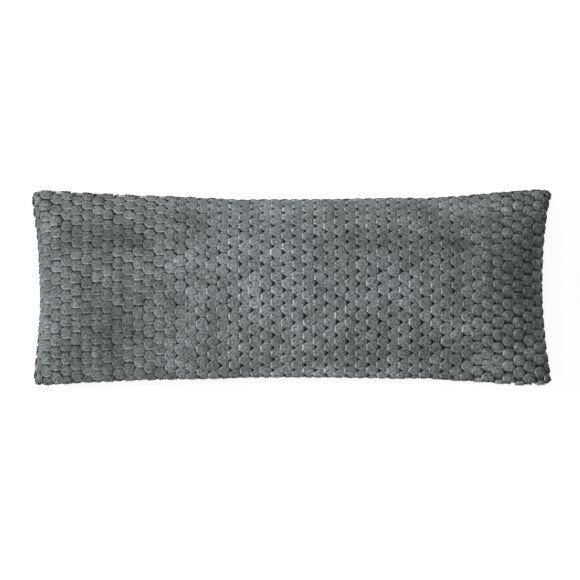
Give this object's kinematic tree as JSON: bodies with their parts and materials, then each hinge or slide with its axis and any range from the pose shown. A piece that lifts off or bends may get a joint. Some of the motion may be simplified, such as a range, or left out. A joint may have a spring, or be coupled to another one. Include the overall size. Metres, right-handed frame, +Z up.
{
  "type": "body pillow",
  "caption": "Long stuffed body pillow in tufted plush, crowned on top, its sides drawn in between blunt corners, lying on its back.",
  "frame": {"origin": "on the surface that the pillow lies on, under the middle of its outline", "axes": "+X along the pillow, +Y across it, +Z up out of its face"},
  "size_m": [1.3306, 0.5107, 0.204],
  "materials": {
    "plush": "short dense polyester plush in staggered tufts, cool mid grey, matt with a soft sheen"
  },
  "bodies": {
    "root": {"pillow": "plush"}
  },
  "joints": []
}
